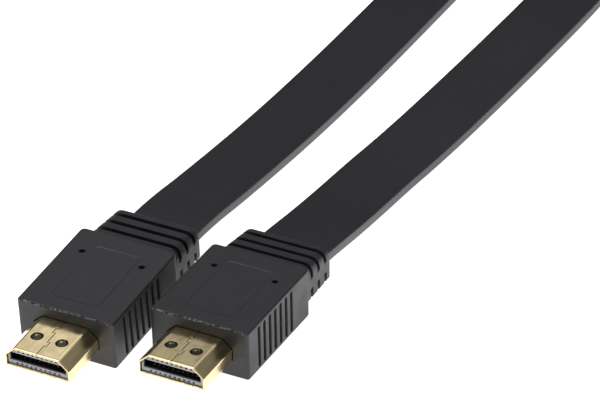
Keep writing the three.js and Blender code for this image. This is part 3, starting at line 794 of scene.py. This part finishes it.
def shell_section(shell, middle, steps=6):
    """Section of the shell: a wide bottom, upright sides, slanted shoulders and a narrow top."""
    low = middle - shell.height / 2
    high = middle + shell.height / 2
    corners = [
        (-shell.width / 2, low),
        (shell.width / 2, low),
        (shell.width / 2, high - shell.shoulder),
        (shell.narrow_width / 2, high),
        (-shell.narrow_width / 2, high),
        (-shell.width / 2, high - shell.shoulder),
    ]
    flat = shell.narrow_width / 2 - shell.corner
    half = spread((0.0, 0.75 * MM, 0.05 * MM), (0.75 * MM, flat, 0.12 * MM))
    top = np.concatenate([half[::-1], -half[1:]])
    top = (flat - top) / (2 * flat)
    plain = np.linspace(0.0, 1.0, 9)
    sides = [np.linspace(0.0, 1.0, 15), plain, plain, top, plain, plain]
    return rounded_section(corners, shell.corner, sides, steps)


def shell_middle(overmould, shell):
    return overmould.height / 2 + shell.raised


def pin_hole_tool(s, x):
    """A pin with a small flare at the top, which leaves a hole with a rounded rim."""
    turn = np.linspace(0.0, 2 * math.pi, 28, endpoint=False)
    top = s.height
    levels = [
        (s.pin_radius, top - s.pin_depth),
        (s.pin_radius, top - 0.16 * MM),
        (s.pin_radius + 0.05 * MM, top - 0.06 * MM),
        (s.pin_radius + 0.16 * MM, top + 0.02 * MM),
        (s.pin_radius + 0.16 * MM, top + 1.0 * MM),
    ]
    rings = []
    for radius, z in levels:
        ring = [x + radius * np.cos(turn), s.depth - s.pin_from_rear + radius * np.sin(turn), np.full(28, z)]
        rings.append(np.stack(ring, axis=-1))
    return Skin().tube(np.array(rings)).build("pin_tool")


def pocket_tool(overmould, shell):
    """The room that the shell takes in the front of the body."""
    points, normals = shell_section(shell, shell_middle(overmould, shell), 4)
    points = points + normals * shell.seat_gap
    ends = (-1.0 * MM, shell.seated + 0.2 * MM)
    rings = np.array([ring_at(y, points[:, 0], points[:, 1]) for y in ends])
    return Skin().tube(rings).build("pocket_tool")


def build_overmould(overmould, shell):
    piece = overmould_body(overmould)
    combine(piece, strain_relief(overmould), "UNION")
    combine(piece, pocket_tool(overmould, shell), "DIFFERENCE")
    for side in (-1, 1):
        combine(piece, pin_hole_tool(overmould, side * overmould.pin_spacing / 2), "DIFFERENCE")
    return piece


def seam_line(shell):
    """The folded seam down the middle of the top, with two dovetails, from mouth to body."""
    line = [(0.0, -shell.exposed - 1 * MM)]
    for middle, side in ((-0.66 * shell.exposed, 1), (-0.27 * shell.exposed, -1)):
        neck = shell.dovetail_neck / 2
        reach = side * shell.dovetail_reach
        line.append((0.0, middle - neck))
        line.append((reach, middle - neck - shell.dovetail_flare))
        line.append((reach, middle + neck + shell.dovetail_flare))
        line.append((0.0, middle + neck))
    line.append((0.0, shell.seated + 1 * MM))
    return np.array(line)


def distance_to_line(x, y, line):
    away = np.full(np.broadcast(x, y).shape, np.inf)
    for start, end in zip(line[:-1], line[1:]):
        run = end - start
        share = ((x - start[0]) * run[0] + (y - start[1]) * run[1]) / (run @ run)
        share = np.clip(share, 0.0, 1.0)
        gap = np.hypot(x - start[0] - share * run[0], y - start[1] - share * run[1])
        away = np.minimum(away, gap)
    return away


def build_shell(name, overmould, shell):
    """The folded sheet: outside from body to mouth, rolled lip, and inside back again."""
    middle = shell_middle(overmould, shell)
    points, normals = shell_section(shell, middle)
    mouth = -shell.exposed
    outside = spread((shell.seated, 0.0, 0.7 * MM), (0.0, mouth + 0.3 * MM, 0.075 * MM))
    lip = [
        (-0.02 * MM, mouth + 0.16 * MM),
        (-0.07 * MM, mouth + 0.06 * MM),
        (-0.15 * MM, mouth + 0.01 * MM),
        (-0.25 * MM, mouth),
        (-0.33 * MM, mouth + 0.05 * MM),
        (-0.38 * MM, mouth + 0.14 * MM),
    ]
    inside = spread((mouth + 0.3 * MM, shell.seated, 1.2 * MM))
    course = [(0.0, y) for y in outside] + lip + [(-shell.wall, y) for y in inside]
    line = seam_line(shell)
    top = middle + shell.height / 2
    rings = []
    notes = []
    for offset, y in course:
        ring = points + normals * offset
        note = np.zeros((len(points), 3))
        x = ring[:, 0]
        z = ring[:, 1].copy()
        if offset > -0.1 * MM:
            on_top = (points[:, 1] > top - 0.01 * MM).astype(float)
            away = np.hypot(np.abs(x) - shell.dimple_spacing / 2, y + shell.dimple_from_body)
            dimple = smoothstep((shell.dimple_radius - away) / (0.3 * MM))
            seam = smoothstep(1.0 - distance_to_line(x, y, line) / (shell.seam_width * 0.75))
            z -= on_top * (shell.dimple_depth * dimple + shell.seam_depth * seam)
            # Painted shade: mask of each dimple's hollow, which the finish darkens, with a small spot left out
            # so it stays bright as a painted highlight.
            spot_x = np.abs(x) - shell.dimple_spacing / 2 + np.sign(x) * 0.4 * shell.dimple_radius
            spot_y = y + shell.dimple_from_body - 0.45 * shell.dimple_radius
            dimple_highlight_spot = np.exp(-((np.hypot(spot_x, spot_y) / (0.17 * MM)) ** 2))
            dimple_shade = smoothstep((shell.dimple_radius + 0.1 * MM - away) / (0.14 * MM))
            dark = smoothstep(1.5 - distance_to_line(x, y, line) / (shell.seam_width * 0.85))
            behind_lip = math.exp(-(((y - mouth - shell.lip_line) / (0.09 * MM)) ** 2))
            note[:, 0] = on_top * dimple_shade * (1.0 - dimple_highlight_spot)
            note[:, 1] = on_top * np.maximum(dark, 0.6 * behind_lip)
        rings.append(ring_at(y, x, z))
        notes.append(note)
    rings = np.array(rings)
    notes = np.array(notes)
    skin = Skin()
    skin.patch(rings, closed=True, notes=notes)
    skin.patch(np.stack([rings[-1], rings[0]]), closed=True)
    return skin.build(name)


def plug_places(overmould, placing):
    """Where each plug's own frame lies: its front face at y = 0, its base on z = 0."""
    plug_b = Matrix.Translation((0.0, -overmould.depth / 2, 0.0))
    corner = overmould.edge
    shift = Vector(
        (
            -(overmould.width + placing.side_gap),
            -overmould.depth / 2 - placing.forward + corner * (1 - math.cos(placing.tip)),
            -corner * math.sin(placing.tip),
        )
    )
    plug_a = Matrix.Translation(shift) @ Matrix.Rotation(placing.tip, 4, "X")
    return {"plug_a": plug_a, "plug_b": plug_b}


def smooth_route(route):
    """A centripetal curve through the points of a route, in metres, in small steps."""
    points = np.array(route) * MM
    points = np.vstack([2 * points[0] - points[1], points, 2 * points[-1] - points[-2]])
    curve = []
    shares = np.linspace(0.0, 1.0, 16, endpoint=False)[:, None]
    for before, start, end, after in zip(points[:-3], points[1:-2], points[2:-1], points[3:]):
        gap_before = math.sqrt(np.linalg.norm(start - before))
        gap = math.sqrt(np.linalg.norm(end - start))
        gap_after = math.sqrt(np.linalg.norm(after - end))
        way_in = (start - before) / gap_before - (end - before) / (gap_before + gap) + (end - start) / gap
        way_out = (end - start) / gap - (after - start) / (gap + gap_after) + (after - end) / gap_after
        way_in, way_out = way_in * gap, way_out * gap
        curve.append(
            start
            + way_in * shares
            + (-3 * start + 3 * end - 2 * way_in - way_out) * shares**2
            + (2 * start - 2 * end + way_in + way_out) * shares**3
        )
    return np.vstack([*curve, points[-2:-1]])


def evenly(path, step):
    """The same path with its points an even step apart."""
    run = np.concatenate([[0.0], np.cumsum(np.linalg.norm(np.diff(path, axis=0), axis=1))])
    places = np.linspace(0.0, run[-1], round(run[-1] / step) + 1)
    return np.stack([np.interp(places, run, path[:, axis]) for axis in range(3)], axis=-1)


def lead(cord, route, twist_start, twist_length):
    """Middle line and width direction of a lead, which turns on edge before the coil."""
    path = evenly(smooth_route(route), 1.5 * MM)
    first = path[0] - (path[1] - path[0]) / np.linalg.norm(path[1] - path[0]) * cord.hidden
    path = np.vstack([first, path])
    tangents = np.gradient(path, axis=0)
    tangents /= np.linalg.norm(tangents, axis=1)[:, None]
    level = np.cross(tangents, (0.0, 0.0, 1.0))
    level /= np.linalg.norm(level, axis=1)[:, None]
    upright = np.cross(level, tangents)
    roll = math.pi / 2 * smoothstep((path[:, 1] - twist_start) / twist_length)[:, None]
    return path, level * np.cos(roll) + upright * np.sin(roll)


def bundle_edges(cord):
    """Inner and outer radius of the loose bundle where the strap holds it."""
    half = cord.thickness / 2 + cord.slack
    turns = cord.turns_b - cord.strap_angle / (2 * math.pi)
    return cord.bore - half, cord.bore + 2 * cord.pitch * turns + half


def tied_radius(cord, radius, turn):
    """The strap draws the strands towards the middle of the bundle."""
    inner, outer = bundle_edges(cord)
    middle = (inner + outer) / 2
    away = (turn - cord.strap_angle + math.pi) % (2 * math.pi) - math.pi
    return middle + (radius - middle) * (1 - cord.pinch * np.exp(-((away / cord.pinch_spread) ** 2)))


def strand(cord, turns):
    """One strand of the coil, from the lead inwards."""
    turn = np.arange(0.0, 2 * math.pi * turns, math.radians(2.0))
    turn = np.append(turn, 2 * math.pi * turns)
    radius = cord.bore + 2 * cord.pitch * (turns - turn / (2 * math.pi))
    return polar(cord, tied_radius(cord, radius, turn), turn)


def polar(cord, radius, turn, middle=(0.0, 0.0)):
    x = cord.coil_x + middle[0] + radius * np.cos(turn)
    y = cord.coil_y + middle[1] + radius * np.sin(turn)
    return np.stack([x, y, np.full(np.shape(x), cord.coil_height)], axis=-1)


def crossing(cord):
    """The S that joins the two strands across the bore."""
    bend = cord.bore / 2
    steps = 44
    start = 2 * math.pi * cord.turns_a
    end = 2 * math.pi * cord.turns_b
    first = polar(
        cord, bend, np.linspace(start, start + math.pi, steps), (bend * math.cos(start), bend * math.sin(start))
    )
    second = polar(
        cord, bend, np.linspace(end + math.pi, end, steps), (bend * math.cos(end), bend * math.sin(end))
    )
    return np.vstack([first[1:], second[1:-1]])


def cord_course(cord):
    """Middle line and width direction of the whole cord, from plug A round the coil to plug B."""
    path_a, across_a = lead(cord, LEAD_A_ROUTE, cord.twist_a_start, cord.twist_a_length)
    path_b, across_b = lead(cord, LEAD_B_ROUTE, cord.twist_b_start, cord.twist_b_length)
    coil = np.vstack([strand(cord, cord.turns_a), crossing(cord), strand(cord, cord.turns_b)[::-1]])
    on_edge = np.tile([0.0, 0.0, 1.0], (len(coil), 1))
    path = np.vstack([path_a, coil, path_b[::-1]])
    across = np.vstack([across_a, on_edge, across_b[::-1]])
    return path, across


def build_cord(cord):
    path, across = cord_course(cord)
    sides = [np.linspace(0.0, 1.0, 9), np.linspace(0.0, 1.0, 3)] * 2
    half = cord.thickness / 2
    section, _ = rounded_section(rectangle(cord.width / 2, -half, half), cord.edge, sides, 5)
    return sweep("flat_cord", path, across, section), path


def build_strap(cord):
    """A hook-and-loop strap round the bundle, its free end laid over its start."""
    inner, outer = bundle_edges(cord)
    middle = (inner + outer) / 2
    half_open = (outer - inner) / 2 * (1 - cord.pinch) + cord.strap_ease
    half = cord.strap_thickness / 2
    corners = rectangle(half_open + half, half, cord.strap_top + half)
    sides = [np.linspace(0.0, 1.0, 12)] * 4
    loop, normals = rounded_section(corners, cord.strap_corner, sides, 10)
    total = len(loop)
    first = total // 4 + 14
    steps = first + np.arange(round(total * (1 + cord.strap_overlap)))
    lift = cord.strap_thickness * smoothstep(((steps - first) / total - 0.9) / 0.1)
    course = loop[steps % total] + normals[steps % total] * lift[:, None]
    out = np.array([math.cos(cord.strap_angle), math.sin(cord.strap_angle), 0.0])
    along = np.array([-math.sin(cord.strap_angle), math.cos(cord.strap_angle), 0.0])
    centre = np.array([cord.coil_x, cord.coil_y, 0.0]) + out * middle
    path = centre + course[:, :1] * out + course[:, 1:] * np.array([0.0, 0.0, 1.0])
    section, _ = rounded_section(
        rectangle(cord.strap_width / 2, -half * 0.96, half * 0.96),
        0.2 * MM,
        [np.linspace(0.0, 1.0, 7), np.linspace(0.0, 1.0, 2)] * 2,
        3,
    )
    return sweep("cord_strap", path, np.tile(along, (len(path), 1)), section)


def wear(piece, material):
    """Puts a finish on a piece and ties it to the fixed frame."""
    piece.data.materials.clear()
    piece.data.materials.append(material)
    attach(piece, BODY)


def nodes_named(ending):
    return [node for name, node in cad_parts.items() if ending in name]


class CABLE_OT_stage(bpy.types.Operator):
    """Sets up the camera, the pale floor and the soft studio light"""

    bl_idname = "flat_cable.stage"
    bl_label = "Stage"

    def execute(self, context):
        studio = context.scene.flat_cable_studio
        self.camera(context, studio)
        self.floor(context, studio)
        self.sky(context)
        self.lights(studio)
        context.scene.view_settings.view_transform = "Standard"
        return {"FINISHED"}

    def camera(self, context, studio):
        data = bpy.data.cameras.new("camera")
        data.lens = studio.lens
        data.sensor_width = studio.sensor
        data.sensor_fit = "HORIZONTAL"
        data.clip_start = 0.01
        data.clip_end = 50.0
        camera = bpy.data.objects.new("camera", data)
        context.scene.collection.objects.link(camera)
        level = math.cos(studio.elevation)
        back = Vector(
            (
                level * math.sin(studio.azimuth),
                -level * math.cos(studio.azimuth),
                math.sin(studio.elevation),
            )
        )
        target = Vector((studio.target_x, studio.target_y, studio.target_z))
        turn = back.to_track_quat("Z", "Y").to_matrix().to_4x4()
        roll = Matrix.Rotation(studio.roll, 4, "Z")
        camera.matrix_world = Matrix.Translation(target + back * studio.distance) @ turn @ roll
        context.scene.camera = camera

    def floor(self, context, studio):
        half = studio.floor_size / 2
        steps = np.linspace(-half, half, 9)
        x, y = np.meshgrid(steps, steps)
        skin = Skin()
        skin.patch(np.stack([x, y, np.zeros(x.shape)], axis=-1))
        floor = skin.build("floor")
        if floor.data.polygons[0].normal.z < 0:
            floor.data.flip_normals()
        floor.data.materials.append(floor_finish(context.scene.flat_cable_finishes, studio.floor_glow))

    def sky(self, context):
        """Soft light that grows from the horizon to straight above."""
        world = bpy.data.worlds.new("studio")
        world.use_nodes = True
        context.scene.world = world
        tree = world.node_tree
        place = tree.nodes.new("ShaderNodeTexCoord")
        axes = tree.nodes.new("ShaderNodeSeparateXYZ")
        ramp = tree.nodes.new("ShaderNodeValToRGB")
        tree.links.new(place.outputs["Generated"], axes.inputs[0])
        tree.links.new(axes.outputs["Z"], ramp.inputs[0])
        tree.links.new(ramp.outputs["Color"], tree.nodes["Background"].inputs["Color"])
        ramp.color_ramp.elements[0].position = SKY_STOPS[0][0]
        ramp.color_ramp.elements[1].position = SKY_STOPS[-1][0]
        for height, _ in SKY_STOPS[1:-1]:
            ramp.color_ramp.elements.new(height)
        for element, (_, level) in zip(ramp.color_ramp.elements, SKY_STOPS):
            element.color = (level, level, level * 1.03, 1.0)

    def lights(self, studio):
        for name, (place, size) in LIGHTS.items():
            self.light(name, place, size, getattr(studio, f"{name}_power"))

    def light(self, name, place, size, watts):
        data = bpy.data.lights.new(name, "AREA")
        data.shape = "DISK"
        data.size = size
        data.energy = watts
        light = bpy.data.objects.new(name, data)
        bpy.context.scene.collection.objects.link(light)
        light.location = place
        light.rotation_euler = Vector(place).to_track_quat("Z", "Y").to_euler()


class CABLE_OT_strap(bpy.types.Operator):
    """Builds the woven strap that holds the coil"""

    bl_idname = "flat_cable.strap"
    bl_label = "Strap"

    def execute(self, context):
        scene = context.scene
        strap = build_strap(scene.flat_cable_cord)
        smooth(strap, 50)
        wear(strap, strap_finish(scene.flat_cable_finishes))
        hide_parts("cord_tie")
        return {"FINISHED"}


class CABLE_OT_cord(bpy.types.Operator):
    """Builds the whole ribbon-shaped cord, from plug A round the coil to plug B"""

    bl_idname = "flat_cable.cord"
    bl_label = "Cord"

    def execute(self, context):
        scene = context.scene
        sizes = scene.flat_cable_cord
        cord, path = build_cord(sizes)
        smooth(cord, 60)
        wear(cord, jacket_finish(scene.flat_cable_finishes, sizes.width / 2))
        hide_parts("cord_lead_a", "cord_lead_b", "cord_coil")
        return {"FINISHED"}


class CABLE_OT_overmoulds(bpy.types.Operator):
    """Builds the moulded body and strain relief of both plugs"""

    bl_idname = "flat_cable.overmoulds"
    bl_label = "Overmoulds"

    def execute(self, context):
        scene = context.scene
        pattern = build_overmould(scene.flat_cable_overmould, scene.flat_cable_shell)
        sizes = scene.flat_cable_overmould
        material = moulding_finish(scene.flat_cable_finishes, sizes.height, sizes.edge)
        for name, place in plug_places(scene.flat_cable_overmould, scene.flat_cable_placing).items():
            piece = bpy.data.objects.new(f"{name}_grip_body", pattern.data.copy())
            scene.collection.objects.link(piece)
            piece.matrix_world = place
            smooth(piece, 38)
            wear(piece, material)
            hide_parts(f"{name}_overmould")
        bpy.data.objects.remove(pattern)
        return {"FINISHED"}


class CABLE_OT_shells(bpy.types.Operator):
    """Builds the folded gold-plated shell of both plugs"""

    bl_idname = "flat_cable.shells"
    bl_label = "Shells"

    def execute(self, context):
        scene = context.scene
        material = plating_finish(scene.flat_cable_finishes)
        for name, place in plug_places(scene.flat_cable_overmould, scene.flat_cable_placing).items():
            piece = build_shell(f"{name}_folded_shell", scene.flat_cable_overmould, scene.flat_cable_shell)
            piece.matrix_world = place
            smooth(piece, 60)
            wear(piece, material)
            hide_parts(f"{name}_shell")
        return {"FINISHED"}


class CABLE_OT_carriers(bpy.types.Operator):
    """Finishes the grey insulator that carries the contacts in each shell"""

    bl_idname = "flat_cable.carriers"
    bl_label = "Contact carriers"

    def execute(self, context):
        scene = context.scene
        front = CARRIER_RECESS * MM - scene.flat_cable_shell.exposed
        for name, place in plug_places(scene.flat_cable_overmould, scene.flat_cable_placing).items():
            axis = place.to_3x3() @ Vector((0.0, 1.0, 0.0))
            face = axis.dot(place @ Vector((0.0, front, 0.0)))
            material = insulator_finish(scene.flat_cable_finishes, axis, face)
            for node in nodes_named(f"{name}_contact_carrier"):
                node.data.materials.clear()
                node.data.materials.append(material)
        return {"FINISHED"}


class CABLE_OT_contacts(bpy.types.Operator):
    """Finishes the nineteen contacts of each plug"""

    bl_idname = "flat_cable.contacts"
    bl_label = "Contacts"

    def execute(self, context):
        material = contact_finish(context.scene.flat_cable_finishes)
        for node in nodes_named("_contact_"):
            if not node.name.endswith("_carrier"):
                node.data.materials.clear()
                node.data.materials.append(material)
        return {"FINISHED"}


OPERATORS = (
    CABLE_OT_stage,
    CABLE_OT_strap,
    CABLE_OT_cord,
    CABLE_OT_overmoulds,
    CABLE_OT_shells,
    CABLE_OT_carriers,
    CABLE_OT_contacts,
)

SETTINGS = {
    "flat_cable_overmould": OvermouldSizes,
    "flat_cable_shell": ShellSizes,
    "flat_cable_cord": CordSizes,
    "flat_cable_placing": PlugPlacing,
    "flat_cable_finishes": Finishes,
    "flat_cable_studio": StudioSettings,
}


class CABLE_PT_panel(bpy.types.Panel):
    """Lists the cable's pieces and sizes in the 3D view's sidebar"""

    bl_idname = "CABLE_PT_panel"
    bl_label = "Flat Video Cable"
    bl_space_type = "VIEW_3D"
    bl_region_type = "UI"
    bl_category = "Flat Cable"

    def draw(self, context):
        for operator in OPERATORS:
            self.layout.operator(operator.bl_idname)
        for name, group in SETTINGS.items():
            box = self.layout.box()
            box.label(text=group.__doc__)
            for key in group.__annotations__:
                box.prop(getattr(context.scene, name), key)


def register():
    for group in SETTINGS.values():
        bpy.utils.register_class(group)
    for name, group in SETTINGS.items():
        setattr(bpy.types.Scene, name, bpy.props.PointerProperty(type=group))
    for operator in OPERATORS:
        bpy.utils.register_class(operator)
    bpy.utils.register_class(CABLE_PT_panel)


def unregister():
    bpy.utils.unregister_class(CABLE_PT_panel)
    for operator in reversed(OPERATORS):
        bpy.utils.unregister_class(operator)
    for name in SETTINGS:
        delattr(bpy.types.Scene, name)
    for group in reversed(SETTINGS.values()):
        bpy.utils.unregister_class(group)


def plain(box):
    """A box's two corners as plain lists of numbers."""
    return [[float(value) for value in corner] for corner in box]


def main():
    register()
    bpy.ops.flat_cable.stage()
    bpy.ops.flat_cable.strap()
    bpy.ops.flat_cable.cord()
    bpy.ops.flat_cable.overmoulds()
    bpy.ops.flat_cable.shells()
    bpy.ops.flat_cable.carriers()
    bpy.ops.flat_cable.contacts()


if __name__ == "__main__":
    main()
